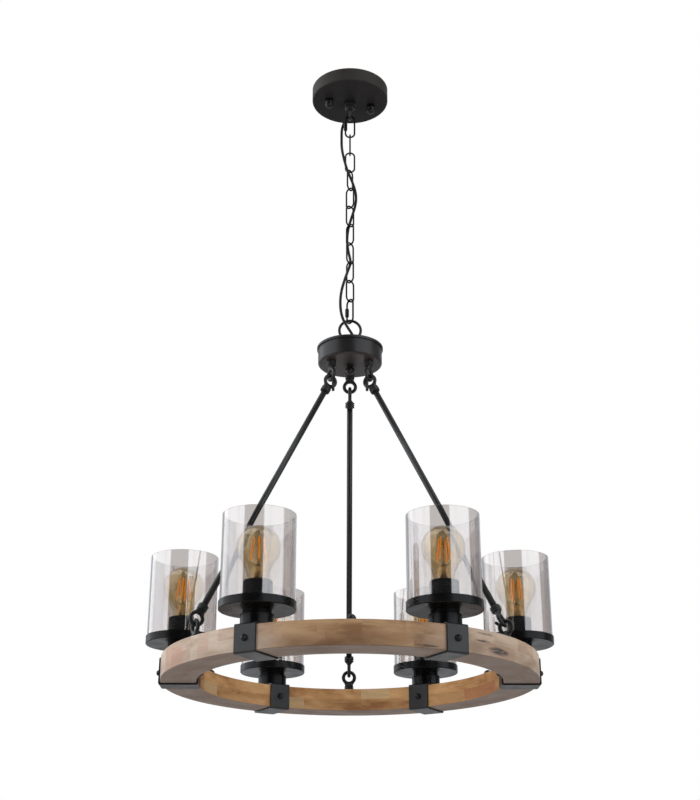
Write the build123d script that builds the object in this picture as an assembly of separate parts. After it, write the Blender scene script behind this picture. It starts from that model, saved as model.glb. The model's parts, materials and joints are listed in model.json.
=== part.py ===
from build123d import *
import os
from math import acos, atan2, cos, degrees, pi, radians, sin, sqrt, tan

# A ring-shaped pendant light. A black canopy cup on the ceiling holds a chain, the chain holds a
# round hub, and three slanting rods hold a wooden ring with six glass lamps.
# Millimetres, +Z up. The origin is on the ceiling, at the middle of the canopy. Angles go round
# the Z axis from the -Y side, which faces the viewer, towards +X.

# Gaps between pieces
run_gap = 0.3          # between pieces that move against each other
seat_gap = 0.15        # between fixed pieces whose faces follow different curves
thread_gap = 0.1       # round a screwed shaft

# Ceiling canopy
canopy_r = 65.5
canopy_h = 24.6
sheet = 1.2            # wall of every pressed metal cup
canopy_edge = 3.0
ceiling_bar_size = (112.0, 18.0, 2.0)
ceiling_slot_spacing = 90.0
ceiling_slot_r = 2.5
ceiling_slot_length = 12.0
stud_bar_size = (86.0, 13.0, 2.0)
stud_spacing = 74.5
stud_turn = 13.5       # the studs' line is turned by this from the X axis
stud_r = 2.0
cap_nut_r = 7.2
cap_nut_h = 10.5
nipple_r = 5.0
nipple_bore = 3.4
nipple_nut_r = 8.0
nipple_nut_h = 3.0
terminal_size = (24.0, 14.0, 11.0)
terminal_at = (-28.0, 28.0)

# Loop under the canopy
loop_collar_r = 9.2
loop_collar_h = 15.0
loop_wire_r = 2.2
loop_inside = (14.0, 15.9)    # its opening, across and down from the collar

# Chain
link_wire_r = 1.4
link_length = 41.05
link_width = 18.0
link_seam = 0.4
link_turns = (90, 0, 55, -38, 38, -42, 45, -45, 40)
quick_wire_r = 1.5
quick_length = 45.3
quick_width = 18.6
quick_turns = (0, -52)
quick_gap = 3.5        # the opening that the sleeve closes
quick_gap_drop = 4.5   # how far that opening is below the link's middle
sleeve_r = 3.2
sleeve_length = 14.5

# Hub
bail_wire_r = 2.25
bail_inside_r = 15.0
bail_collar_r = 7.5
bail_collar_h = 11.4
lid_r = 53.0
lid_skirt = 4.5
hub_r = 51.2
hub_h = 31.4
hub_edge = 4.0
tie_rod_r = 3.0
finial_r = 7.3
hook_circle_r = 34.5
bush_at = (6.0, -14.5)
bush_r = 5.6
bush_h = 5.0
cord_r = 2.25

# Hooks and rod ends, all with the same eye
eye_bar_r = 2.15
eye_hole_r = 7.25
eye_neck_r = 5.0
eye_gap = 0.5          # between a hook's bar and the rod end that hangs in it
collar_r = 7.7
collar_h = 9.5
collar_rib = 3.0
hook_shank_r = 3.0
hook_shank = 9.0
hook_nut_r = 6.5
hook_nut_h = 4.0
tail_r = 1.9
hub_tail = (45, 0, 15.5)     # a hub hook's tail: its root's angle on the eye, its lean, its length
ring_tail = (68, 55, 8.0)    # the same for a ring hook
rod_r = 4.25
rod_wall = 1.0
rod_socket = 6.0       # how deep the rod's tube sits in its end pieces
rod_span = 464.2       # between the bars that a rod hangs between

# The three arms: the angle each stands at, and how each of its eyes is turned
arms = {
    "right": {"angle": 60, "hub_hook": 0, "rod_top": 0, "rod_foot": 90, "ring_hook": 90, "tails": (-1, 1)},
    "far": {"angle": 180, "hub_hook": 0, "rod_top": 0, "rod_foot": 0, "ring_hook": 0, "tails": (0, 0)},
    "left": {"angle": 300, "hub_hook": 0, "rod_top": 0, "rod_foot": 0, "ring_hook": 0, "tails": (1, 0)},
}

# Wooden ring
ring_r = 275.0
ring_width = 52.0
ring_h = 34.6
ring_round = 1.2
segment_count = 6
glue_gap = 0.05
top_nut_r = 7.0
top_nut_h = 12.0
top_nut_angles = (0, 120, 240)
wood_screw_r = 2.5
wood_screw = 18.0

# Brackets round the ring
strap_width = 33.0
strap = 2.5
strap_bend = 3.0
strap_seam = 0.6
bolt_r = 2.5
bolt_head_r = 4.6
bolt_head_h = 5.5
wire_hole_r = 5.0

# Lamps
lamp_count = 6
lamp_first = 30
neck_r = 22.5
neck_h = 21.4
neck_waist_r = 19.5
neck_waist_h = 5.0
pan_r = 52.1
pan_h = 11.2
glass_r = 50.5
glass_wall = 2.2
glass_h = 130.0
socket_r = 20.0
socket_h = 38.7
socket_floor = 10.0
bulb_r = 30.0
bulb_cap_r = 13.2
bulb_cap_h = 26.0
bulb_centre = 75.0     # from the cap's foot to the middle of the round part
bulb_wall = 0.9


def place(shape, angle, radius=0.0, z=0.0):
    """Turns a shape made on the -Y side to its angle round the Z axis."""
    return Rot(0, 0, angle) * Pos(0, -radius, z) * shape


def turned(points):
    """A solid of revolution about Z from (radius, height) corners."""
    return revolve(Plane.XZ * make_face(Polyline(*points, close=True)), Axis.Z)


def tube(outer, inner, low, high):
    return turned([(inner, low), (outer, low), (outer, high), (inner, high)])


def rod_between(radius, low, high):
    return Pos(0, 0, low) * Cylinder(radius, high - low, align=(Align.CENTER, Align.CENTER, Align.MIN))


def hexagon(across, height):
    return extrude(RegularPolygon(across, 6), height)


def save(name, *solids):
    shape = solids[0] if len(solids) == 1 else Compound(children=list(solids))
    export_step(shape, f"parts/{name}.step")


os.makedirs("parts", exist_ok=True)

# Heights, from the ceiling down
canopy_floor = -canopy_h
loop_foot = canopy_floor - loop_collar_h
hang_points = [loop_foot - loop_inside[1]]
for piece in ["quick"] + ["link"] * len(link_turns) + ["quick"]:
    inside = quick_length - 4 * quick_wire_r if piece == "quick" else link_length - 4 * link_wire_r
    hang_points.append(hang_points[-1] + run_gap - inside)
bail_top = hang_points[-1] + run_gap
bail_z = bail_top - bail_inside_r
lid_top = bail_z - bail_inside_r - 2 * bail_wire_r - bail_collar_h
hub_floor = lid_top - hub_h
eye_r = eye_hole_r + eye_bar_r
eye_drop = collar_h + 1.0 + eye_r + eye_bar_r
ring_radius = ring_r - ring_width / 2
arm_eye_gap = sqrt(rod_span**2 - (ring_radius - hook_circle_r) ** 2) + 2 * eye_r
ring_top = hub_floor - 2 * eye_drop - arm_eye_gap
strap_top = ring_top + seat_gap + strap
pan_foot = strap_top + neck_h
pan_floor = pan_foot + sheet
glass_foot = pan_floor + run_gap
socket_top = pan_floor + socket_h
bulb_foot = pan_floor + socket_floor + run_gap


def ceiling_bar():
    """Flat bar screwed to the ceiling through two slots."""
    length, width, thick = ceiling_bar_size
    bar = Pos(0, 0, -thick) * extrude(SlotOverall(length, width), thick)
    slot = SlotOverall(ceiling_slot_length, 2 * ceiling_slot_r)
    for x in (-ceiling_slot_spacing / 2, ceiling_slot_spacing / 2):
        bar -= Pos(x, 0, -2 * thick) * extrude(slot, 3 * thick)
    return bar - rod_between(nipple_r + thread_gap, -2 * thick, thick)


def stud_places(z=0.0):
    half = stud_spacing / 2
    return [Rot(0, 0, stud_turn) * Pos(x, 0, z) for x in (-half, half)]


def stud_bar():
    """Lower bar that carries the canopy's two studs."""
    length, width, thick = stud_bar_size
    top = -ceiling_bar_size[2]
    bar = Rot(0, 0, stud_turn) * Pos(0, 0, top - thick) * extrude(SlotOverall(length, width), thick)
    for here in stud_places():
        bar -= here * rod_between(stud_r + thread_gap, top - 2 * thick, top + thick)
    return bar - rod_between(nipple_r + thread_gap, top - 2 * thick, top + thick)


def canopy_studs():
    top = -ceiling_bar_size[2]
    foot = canopy_floor - cap_nut_h / 2
    return [here * rod_between(stud_r, foot, top) for here in stud_places()]


def dome_nut(radius, height, bore=0.0, depth=0.0):
    """Ball-topped cap nut that stands on z = 0, with a short flange and, if asked, a blind hole."""
    flange = height * 0.25
    ball = radius * 0.92
    profile = (
        Polyline((0, 0), (radius, 0), (radius, flange), (ball, flange + 0.6), (ball, height - ball))
        + RadiusArc((ball, height - ball), (0, height), -ball)
        + Line((0, height), (0, 0))
    )
    nut = revolve(Plane.XZ * make_face(profile), Axis.Z)
    return nut - rod_between(bore, -1, depth) if bore else nut


def canopy_cap_nuts():
    nut = Rot(180, 0, 0) * dome_nut(cap_nut_r, cap_nut_h, stud_r + thread_gap, cap_nut_h / 2 + run_gap)
    return [here * nut for here in stud_places(canopy_floor)]


def canopy_nipple():
    """Hollow threaded tube from the bars down into the loop's collar."""
    return tube(nipple_r, nipple_bore, canopy_floor - loop_collar_h / 2, -ceiling_bar_size[2] / 2)


def canopy_nipple_nuts():
    foot = -ceiling_bar_size[2] - stud_bar_size[2]
    nut = hexagon(nipple_nut_r, nipple_nut_h) - rod_between(nipple_r + thread_gap, -1, nipple_nut_h + 1)
    return [Pos(0, 0, foot - nipple_nut_h) * nut, Pos(0, 0, canopy_floor + sheet) * nut]


def canopy_cup():
    """Shallow round cup, open to the ceiling."""
    cup = Pos(0, 0, canopy_floor) * Cylinder(canopy_r, canopy_h, align=(Align.CENTER, Align.CENTER, Align.MIN))
    cup = fillet(cup.edges().group_by(Axis.Z)[0], canopy_edge)
    inner = Pos(0, 0, canopy_floor + sheet) * Cylinder(
        canopy_r - sheet, canopy_h, align=(Align.CENTER, Align.CENTER, Align.MIN)
    )
    inner = fillet(inner.edges().group_by(Axis.Z)[0], canopy_edge - sheet)
    cup -= inner
    for here in stud_places():
        cup -= here * rod_between(stud_r + run_gap, canopy_floor - 1, canopy_floor + 3)
    return cup - rod_between(nipple_r + run_gap, canopy_floor - 1, canopy_floor + 3)


def ring_in_xz(major, minor, degrees_round=360):
    """A round bar bent to a circle in the XZ plane, starting at +X and going over the top."""
    return Rot(90, 0, 0) * Torus(major, minor, major_angle=degrees_round, align=None)


def canopy_loop():
    """Ribbed collar screwed on the nipple, with the loop that the chain hangs in."""
    wide, down = loop_inside
    bend = wide / 2 + loop_wire_r
    collar = turned(
        [
            (nipple_bore, loop_foot), (loop_collar_r - 2, loop_foot), (loop_collar_r, loop_foot + 2),
            (loop_collar_r, loop_foot + 5), (loop_collar_r - 1, loop_foot + 5.6),
            (loop_collar_r - 1, loop_foot + 7.4), (loop_collar_r, loop_foot + 8),
            (loop_collar_r, canopy_floor), (nipple_bore, canopy_floor),
        ]
    )
    collar -= rod_between(nipple_r + thread_gap, loop_foot + loop_collar_h / 2 - 0.3, canopy_floor + 1)
    centre = loop_foot - down + wide / 2
    loop = Rot(0, 0, 90) * Pos(0, 0, centre) * Rot(0, 180, 0) * ring_in_xz(bend, loop_wire_r, 180)
    for side in (-bend, bend):
        leg = rod_between(loop_wire_r, centre, loop_foot + 1.2)
        loop += Pos(0, side, 0) * leg
    shoulder = Pos(0, 0, loop_foot) * Box(
        2 * loop_wire_r, 2 * bend + 2 * loop_wire_r, 2.4, align=(Align.CENTER, Align.CENTER, Align.MIN)
    )
    shoulder = fillet(shoulder.edges().filter_by(Axis.Z), loop_wire_r * 0.9)
    loop += shoulder - rod_between(nipple_bore, loop_foot - 1, loop_foot + 4)
    return collar + loop


def oval(length, width, wire):
    """A wire bent to a link in the XZ plane, centred on the origin."""
    bend = width / 2 - wire
    straight = length - width
    top = Pos(0, 0, straight / 2) * ring_in_xz(bend, wire, 180)
    foot = Rot(0, 180, 0) * top
    sides = [Pos(x, 0, 0) * rod_between(wire, -straight / 2, straight / 2) for x in (-bend, bend)]
    return top + foot + sides


def link_places():
    """Name, length, wire, turn and middle height of each piece of the chain, from the top."""
    rows = [("quick_link_top", quick_length, quick_wire_r, quick_turns[0])]
    for n, turn in enumerate(link_turns, 1):
        rows.append((f"chain_link_{n}", link_length, link_wire_r, turn))
    rows.append(("quick_link_bottom", quick_length, quick_wire_r, quick_turns[1]))
    out = []
    for (name, length, wire, turn), hang in zip(rows, hang_points):
        out.append((name, length, wire, turn, hang + run_gap + 2 * wire - length / 2))
    return out


def chain_link():
    """Bent wire link, butted but not welded at the middle of one side."""
    return oval(link_length, link_width, link_wire_r) - Pos(link_width / 2, 0, 0) * Box(
        link_width / 2, link_width / 2, link_seam
    )


def quick_link():
    """Bent wire link with an opening in one side for the screw sleeve."""
    gap = Pos(-quick_width / 2, 0, -quick_gap_drop) * Box(quick_width / 2, quick_width / 2, quick_gap)
    return oval(quick_length, quick_width, quick_wire_r) - gap


def quick_sleeve():
    """Six-sided screw sleeve over the quick link's opening."""
    nut = hexagon(sleeve_r, sleeve_length)
    ends = turned(
        [
            (0, 0), (sleeve_r * 0.8, 0), (sleeve_r, 1.0), (sleeve_r, sleeve_length - 1.0),
            (sleeve_r * 0.8, sleeve_length), (0, sleeve_length),
        ]
    )
    nut = (nut & ends) - rod_between(quick_wire_r + run_gap, -1, sleeve_length + 1)
    return Pos(-(quick_width / 2 - quick_wire_r), 0, -sleeve_length / 2) * nut


def hub_bail():
    """Round wire bail on a short collar that screws on the tie rod."""
    ring = Pos(0, 0, bail_z) * ring_in_xz(bail_inside_r + bail_wire_r, bail_wire_r)
    foot = lid_top
    collar = turned(
        [
            (0, foot), (bail_collar_r, foot), (bail_collar_r, foot + 3.5), (bail_collar_r - 1, foot + 4.2),
            (bail_collar_r - 1, foot + 6), (bail_collar_r, foot + 6.7), (bail_collar_r - 0.3, foot + 9),
            (bail_collar_r - 2.5, foot + bail_collar_h), (bail_collar_r - 4, foot + bail_collar_h + 2),
            (0, foot + bail_collar_h + 2),
        ]
    )
    return ring + collar - rod_between(tie_rod_r + thread_gap, foot - 1, foot + bail_collar_h - 2)


def hub_lid():
    """Lid that laps over the hub cup."""
    low = lid_top - lid_skirt
    lid = turned(
        [
            (0, lid_top), (lid_r - 1.0, lid_top), (lid_r, lid_top - 1.0), (lid_r, low),
            (hub_r + run_gap, low), (hub_r + run_gap, lid_top - sheet), (0, lid_top - sheet),
        ]
    )
    lid -= rod_between(tie_rod_r + thread_gap, lid_top - 3, lid_top + 1)
    return lid - Pos(*bush_at) * rod_between(bush_r - 1.5 + thread_gap, lid_top - 3, lid_top + 1)


def hub_cup():
    """Round cup with a rounded lower edge, closed by the lid."""
    height = hub_h - sheet
    cup = Pos(0, 0, hub_floor) * Cylinder(hub_r, height, align=(Align.CENTER, Align.CENTER, Align.MIN))
    cup = fillet(cup.edges().group_by(Axis.Z)[0], hub_edge)
    inner = Pos(0, 0, hub_floor + sheet) * Cylinder(
        hub_r - sheet, height, align=(Align.CENTER, Align.CENTER, Align.MIN)
    )
    cup -= fillet(inner.edges().group_by(Axis.Z)[0], hub_edge - sheet)
    cup -= rod_between(tie_rod_r + thread_gap, hub_floor - 1, hub_floor + 3)
    for arm in arms.values():
        cup -= place(rod_between(hook_shank_r + thread_gap, -1, 3), arm["angle"], hook_circle_r, hub_floor)
    return cup


def hub_tie_rod():
    """Threaded rod through the hub, from the bail's collar to the ball finial."""
    return rod_between(tie_rod_r, hub_floor - finial_r, lid_top + bail_collar_h - 3)


def hub_finial():
    """Ball finial with a waist, screwed under the hub."""
    top = hub_floor
    waist = finial_r * 0.68
    drop = 3.2
    below = sqrt(finial_r**2 - waist**2)
    centre = top - drop - below
    profile = (
        Polyline((tie_rod_r + thread_gap, top), (finial_r * 0.9, top), (finial_r * 0.9, top - 1.6))
        + Polyline((finial_r * 0.9, top - 1.6), (waist, top - 2.2), (waist, top - drop))
        + ThreePointArc((waist, top - drop), (finial_r, centre), (0, centre - finial_r))
        + Polyline((0, centre - finial_r), (0, top - finial_r - run_gap))
        + Polyline((0, top - finial_r - run_gap), (tie_rod_r + thread_gap, top - finial_r - run_gap))
        + Line((tie_rod_r + thread_gap, top - finial_r - run_gap), (tie_rod_r + thread_gap, top))
    )
    return revolve(Plane.XZ * make_face(profile), Axis.Z)


def cord_bush():
    """Bush that leads the cord through the hub's lid."""
    bore = cord_r + run_gap
    bush = turned(
        [
            (bore, lid_top - sheet - 2), (bush_r - 1.5, lid_top - sheet - 2), (bush_r - 1.5, lid_top),
            (bush_r, lid_top), (bush_r, lid_top + bush_h - 1.5), (bush_r - 1.2, lid_top + bush_h),
            (bore, lid_top + bush_h),
        ]
    )
    return Pos(*bush_at) * bush


def ribbed_collar(bore=0.0):
    """Collar with two ribs, from z = 0 down to -collar_h."""
    groove = collar_r - 1.1
    return turned(
        [
            (bore, 0), (groove, 0), (collar_r, -0.7), (collar_r, -0.7 - collar_rib),
            (groove, -1.3 - collar_rib), (groove, -1.9 - collar_rib), (collar_r, -2.5 - collar_rib),
            (collar_r, -2.5 - 2 * collar_rib), (eye_neck_r, -collar_h), (bore, -collar_h),
        ]
    )


def eye():
    """A round eye in the XZ plane, centred on the origin, drawn in to a neck above it."""
    ring = ring_in_xz(eye_r, eye_bar_r)
    neck_top = eye_drop - collar_h
    outline = make_hull(
        (Circle(eye_r + eye_bar_r * 0.55).edges() + (Pos(0, neck_top - 1.5) * Circle(eye_neck_r - 1.2)).edges())
    )
    web = extrude(Plane.XZ * (outline - Circle(eye_hole_r + 0.6)), eye_bar_r * 0.75, both=True)
    neck = turned([(0, eye_r - 0.5), (eye_bar_r + 0.6, eye_r - 0.5), (eye_neck_r, neck_top), (0, neck_top)])
    return ring + web + neck


def hook(side, tail):
    """Screw hook that points down from z = 0: a shank above, then a ribbed collar, and an eye below.

    side is -1 or 1 for the side of the eye that its cut end stands at, and 0 for none."""
    body = Pos(0, 0, -eye_drop) * eye() + ribbed_collar() + rod_between(hook_shank_r, -1, hook_shank)
    if side:
        root, lean, length = tail
        end = rod_between(tail_r, -length, 0) + Pos(0, 0, -length) * Sphere(tail_r)
        end = Pos(eye_r * sin(radians(root)), 0, -eye_r * cos(radians(root))) * Rot(0, -lean, 0) * end
        body += Pos(0, 0, -eye_drop) * Rot(0, 0, 90 - 90 * side) * end
    return body


def hub_hook(arm):
    down = Rot(0, 0, arm["hub_hook"]) * hook(arm["tails"][0], hub_tail)
    return place(down, arm["angle"], hook_circle_r, hub_floor)


def ring_hook(arm):
    up = Rot(0, 0, arm["ring_hook"]) * Rot(180, 0, 0) * hook(arm["tails"][1], ring_tail)
    return place(up, arm["angle"], ring_radius, ring_top)


def hook_nuts():
    nut = hexagon(hook_nut_r, hook_nut_h) - rod_between(hook_shank_r + thread_gap, -1, hook_nut_h + 1)
    return [place(nut, arm["angle"], hook_circle_r, hub_floor + sheet) for arm in arms.values()]


def pull_points(arm):
    """The middles of the two bars that an arm's rod hangs between, on the -Y side."""
    top = Vector(0, -hook_circle_r, hub_floor - eye_drop)
    foot = Vector(0, -ring_radius, ring_top + eye_drop)
    pull = (foot - top).normalized()
    for _ in range(3):
        ends = []
        for eye_at, turn, sign in ((top, arm["hub_hook"], 1), (foot, arm["ring_hook"], -1)):
            along = Vector(cos(radians(turn)), sin(radians(turn)), 0)
            reach = along * pull.dot(along) + Vector(0, 0, pull.Z)
            ends.append(eye_at + reach.normalized() * (sign * eye_r))
        pull = (ends[1] - ends[0]).normalized()
    return ends


def rod_end():
    """A rod's end piece: its eye's bar is at the origin, and the rod goes down from it."""
    centre = eye_hole_r - eye_bar_r - eye_gap
    shape = Rot(0, 180, 0) * eye()
    shape = Pos(0, 0, -centre) * shape
    collar_top = -centre - (eye_drop - collar_h)
    collar = Pos(0, 0, collar_top - collar_h) * Rot(180, 0, 0) * ribbed_collar()
    shape += collar
    shape -= rod_between(rod_r + thread_gap, collar_top - collar_h - 1, collar_top - collar_h + rod_socket)
    return shape, -(collar_top - collar_h)


def rod(arm):
    """The hollow rod of an arm and its two end pieces."""
    start, finish = pull_points(arm)
    line = finish - start
    end, reach = rod_end()
    down = line.length
    inset = reach - rod_socket + run_gap
    shaft = tube(rod_r, rod_r - rod_wall, -down + inset, -inset)
    upper = Rot(0, 0, arm["rod_top"] + 90) * end
    lower = Pos(0, 0, -down) * Rot(0, 0, arm["rod_foot"] + 90) * Rot(180, 0, 0) * end
    lean = degrees(acos(-line.Z / down))
    swing = degrees(atan2(line.X, -line.Y))
    tilt = Pos(start.X, start.Y, start.Z) * Rot(0, 0, swing) * Rot(-lean, 0, 0)
    return [Rot(0, 0, arm["angle"]) * tilt * solid for solid in (shaft, upper, lower)]


def wood_segment(n):
    """One sixth of the ring, with a hook's or a nut's screw hole and half of each bolt hole."""
    step = 360 / segment_count
    middle = n * step
    half = step / 2
    section = Pos(ring_radius, ring_top - ring_h / 2) * RectangleRounded(ring_width, ring_h, ring_round)
    arc = Rot(0, 0, -90 - half) * revolve(Plane.XZ * section, Axis.Z, step)
    joint = Pos(0, -ring_radius, ring_top - ring_h / 2) * Box(glue_gap, 2 * ring_width, 2 * ring_h)
    for side in (-half, half):
        arc -= Rot(0, 0, side) * joint
    bolt = Rot(90, 0, 0) * Cylinder(bolt_r + run_gap, 3 * ring_width)
    for side in (-half, half):
        arc -= place(bolt, side, ring_radius, ring_top - ring_h / 2)
    screw_r, depth = (hook_shank_r, hook_shank) if n % 2 else (wood_screw_r, wood_screw)
    arc -= Pos(0, -ring_radius, ring_top) * rod_between(screw_r + thread_gap, -depth - 1, 1)
    return Rot(0, 0, middle) * arc


def ring_cap_nuts():
    """Ball nuts on the ring's top face, each with the screw that holds it."""
    nut = dome_nut(top_nut_r, top_nut_h, wood_screw_r + thread_gap, top_nut_h / 2)
    screw = rod_between(wood_screw_r, -wood_screw, top_nut_h / 2 + 0.5)
    return [place(nut + screw, angle, ring_radius, ring_top) for angle in top_nut_angles]


def lamp_angles():
    return [lamp_first + n * 360 / lamp_count for n in range(lamp_count)]


def strap_faces():
    """Distances from the Z axis of the strap's two inner faces."""
    inner = sqrt((ring_r - ring_width) ** 2 - (strap_width / 2) ** 2) - seat_gap
    return inner, ring_r + seat_gap


def bracket():
    """Flat strap bent round the ring's four sides, its ends meeting under the lamp's neck."""
    inner, outer = strap_faces()
    middle = (inner + outer) / 2
    hole = (outer - inner, ring_h + 2 * seat_gap)
    band = RectangleRounded(hole[0] + 2 * strap, hole[1] + 2 * strap, strap_bend)
    band -= RectangleRounded(hole[0], hole[1], strap_bend - strap)
    band = extrude(Plane.YZ * band, strap_width / 2, both=True)
    band = Pos(0, -middle, ring_top - ring_h / 2) * band
    band -= Pos(0, -ring_radius, strap_top) * Box(2 * strap_width, strap_seam, 4 * strap)
    band -= Pos(0, -ring_radius, 0) * rod_between(wire_hole_r, strap_top - 2 * strap, strap_top + 1)
    bolt = Rot(90, 0, 0) * Cylinder(bolt_r + run_gap, 3 * ring_width)
    return band - Pos(0, -ring_radius, ring_top - ring_h / 2) * bolt


def bracket_bolt():
    """Round-headed bolt through the strap and the wood, head outside."""
    inner, outer = strap_faces()
    z = ring_top - ring_h / 2
    head = Pos(0, -(outer + strap), z) * Rot(90, 0, 0) * dome_nut(bolt_head_r, bolt_head_h)
    length = outer - inner + 2 * strap + bolt_head_h / 2
    shaft = Pos(0, -(outer + strap) + length / 2, z) * Rot(90, 0, 0) * Cylinder(bolt_r, length)
    return head + shaft


def bracket_bolt_nut():
    inner, _ = strap_faces()
    nut = dome_nut(bolt_head_r, bolt_head_h, bolt_r + thread_gap, bolt_head_h / 2 + run_gap)
    return Pos(0, -(inner - strap), ring_top - ring_h / 2) * Rot(-90, 0, 0) * nut


def lamp_neck():
    """Hollow neck from the strap to the lamp's pan, with a waist at its top."""
    waist = pan_foot - neck_waist_h
    return turned(
        [
            (neck_r - 3, strap_top), (neck_r, strap_top), (neck_r, waist - 1), (neck_r - 1, waist),
            (neck_waist_r, waist), (neck_waist_r, pan_foot), (neck_waist_r - 3, pan_foot),
            (neck_waist_r - 3, waist - 3), (neck_r - 3, waist - 6),
        ]
    )


def lamp_pan():
    """Shallow round pan that the glass stands in."""
    return turned(
        [
            (wire_hole_r, pan_foot), (pan_r - 0.8, pan_foot), (pan_r, pan_foot + 0.8),
            (pan_r, pan_foot + pan_h), (pan_r - sheet, pan_foot + pan_h), (pan_r - sheet, pan_floor),
            (wire_hole_r, pan_floor),
        ]
    )


def lamp_socket():
    """Round socket sleeve with a bore for the bulb's cap."""
    bore = bulb_cap_r + run_gap
    return turned(
        [
            (wire_hole_r, pan_floor), (socket_r, pan_floor), (socket_r, socket_top - 1.0),
            (socket_r - 1.0, socket_top), (bore, socket_top), (bore, pan_floor + socket_floor),
            (wire_hole_r, pan_floor + socket_floor),
        ]
    )


def glass_shade():
    """Straight glass cylinder, open at both ends."""
    return tube(glass_r, glass_r - glass_wall, glass_foot, glass_foot + glass_h)


def bulb():
    """Hollow round bulb with its screw cap, open inside the cap's foot."""
    centre = bulb_foot + bulb_centre
    cap_top = bulb_foot + bulb_cap_h
    neck = bulb_cap_r + 0.1
    rise = 12.0
    outline = []
    for radius, inset in ((bulb_r, 0), (bulb_r - bulb_wall, bulb_wall)):
        low = sqrt(radius**2 - (neck - inset + 7) ** 2)
        side = (neck - inset + 7, centre - low)
        outline.append((side, neck - inset, radius))
    (outer_side, outer_neck, outer_r), (inner_side, inner_neck, inner_r) = outline
    foot_hole = 2.0
    profile = (
        Polyline((foot_hole, bulb_foot), (bulb_cap_r - 4, bulb_foot), (bulb_cap_r, bulb_foot + 4))
        + Polyline((bulb_cap_r, bulb_foot + 4), (bulb_cap_r, cap_top), (outer_neck, cap_top + rise * 0.3))
        + Line((outer_neck, cap_top + rise * 0.3), outer_side)
        + ThreePointArc(outer_side, (outer_r, centre), (0, centre + outer_r))
        + Line((0, centre + outer_r), (0, centre + inner_r))
        + ThreePointArc((0, centre + inner_r), (inner_r, centre), inner_side)
        + Line(inner_side, (inner_neck, cap_top + rise * 0.3))
        + Polyline((inner_neck, cap_top + rise * 0.3), (bulb_cap_r - bulb_wall, cap_top))
        + Polyline((bulb_cap_r - bulb_wall, cap_top), (bulb_cap_r - bulb_wall, bulb_foot + 4.4))
        + Polyline((bulb_cap_r - bulb_wall, bulb_foot + 4.4), (foot_hole, bulb_foot + bulb_wall))
        + Line((foot_hole, bulb_foot + bulb_wall), (foot_hole, bulb_foot))
    )
    return revolve(Plane.XZ * make_face(profile), Axis.Z)


def terminal_block():
    """Three-way terminal block inside the canopy."""
    long, deep, high = terminal_size
    block = Pos(*terminal_at, canopy_floor + sheet) * Box(
        long, deep, high, align=(Align.CENTER, Align.CENTER, Align.MIN)
    )
    for n in (-1, 0, 1):
        way = Rot(90, 0, 0) * Cylinder(1.8, 2 * deep)
        block -= Pos(terminal_at[0] + n * long / 3.3, terminal_at[1], canopy_floor + sheet + high / 2) * way
    return block


# The cord's route, from the collar's foot through the chain to the bush in the hub's lid
cord_route = [
    (0.0, 0.0, loop_foot + 4.0),
    (-1.0, 0.0, -45.5),
    (-7.7, 5.5, -57.0),
    (-14.4, 8.0, -72.0),
    (-14.6, 3.0, -97.0),
    (-14.4, -6.5, -122.0),
    (-11.0, -13.8, -146.0),
    (-5.1, -13.4, -170.0),
    (5.3, -1.9, -190.0),
    (10.6, 0.2, -210.0),
    (9.6, -1.1, -231.0),
    (3.3, 0.6, -252.0),
    (-3.1, 8.2, -271.0),
    (-5.3, 13.7, -292.0),
    (-2.5, 14.2, -314.0),
    (1.9, 9.2, -335.0),
    (-3.9, -0.8, -357.0),
    (-9.5, -5.4, -377.0),
    (-14.6, -7.8, -398.0),
    (-16.4, -9.1, -422.0),
    (-13.3, -10.4, -446.0),
    (-4.6, -12.6, -464.0),
    (4.2, -14.3, -479.0),
    (*bush_at, lid_top + 9.0),
    (*bush_at, lid_top + 1.0),
]


def power_cord():
    """The cord as straight runs joined by arcs, printed with its radii and its volume."""
    points = [Vector(*p) for p in cord_route]
    radii = []
    for before, here, after in zip(points, points[1:], points[2:]):
        turn = (here - before).get_angle(after - here)
        run = min((here - before).length, (after - here).length)
        radii.append(0.45 * run / tan(radians(turn / 2)))
    path = FilletPolyline(*points, radius=radii)
    start = Plane(points[0], z_dir=points[1] - points[0])
    cord = sweep(start * Circle(cord_r), path)
    print("cord radii", [round(r, 1) for r in radii])
    share = cord.volume / (path.length * pi * cord_r**2)
    print("cord length", round(path.length, 1), "volume share", round(share, 4))
    return cord


save("ceiling_bar", ceiling_bar())
save("stud_bar", stud_bar())
save("canopy_studs", *canopy_studs())
save("canopy_cap_nuts", *canopy_cap_nuts())
save("canopy_nipple", canopy_nipple())
save("canopy_nipple_nuts", *canopy_nipple_nuts())
save("canopy_cup", canopy_cup())
save("canopy_loop", canopy_loop())
save("terminal_block", terminal_block())
for name, length, wire, turn, middle in link_places():
    shape = quick_link() if name.startswith("quick") else chain_link()
    save(name, Pos(0, 0, middle) * Rot(0, 0, turn) * shape)
    if name.startswith("quick"):
        save(name + "_sleeve", Pos(0, 0, middle) * Rot(0, 0, turn) * quick_sleeve())
save("power_cord", power_cord())
save("cord_bush", cord_bush())
save("hub_bail", hub_bail())
save("hub_lid", hub_lid())
save("hub_cup", hub_cup())
save("hub_tie_rod", hub_tie_rod())
save("hub_finial", hub_finial())
save("hub_hooks", *[hub_hook(arm) for arm in arms.values()])
save("hub_hook_nuts", *hook_nuts())
for name, arm in arms.items():
    save(f"rod_{name}", *rod(arm))
save("ring_hooks", *[ring_hook(arm) for arm in arms.values()])
save("ring_cap_nuts", *ring_cap_nuts())
for n in range(segment_count):
    save(f"wood_segment_{n + 1}", wood_segment(n))
save("ring_brackets", *[Rot(0, 0, a) * bracket() for a in lamp_angles()])
save("bracket_bolts", *[Rot(0, 0, a) * bracket_bolt() for a in lamp_angles()])
save("bracket_bolt_nuts", *[Rot(0, 0, a) * bracket_bolt_nut() for a in lamp_angles()])
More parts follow.
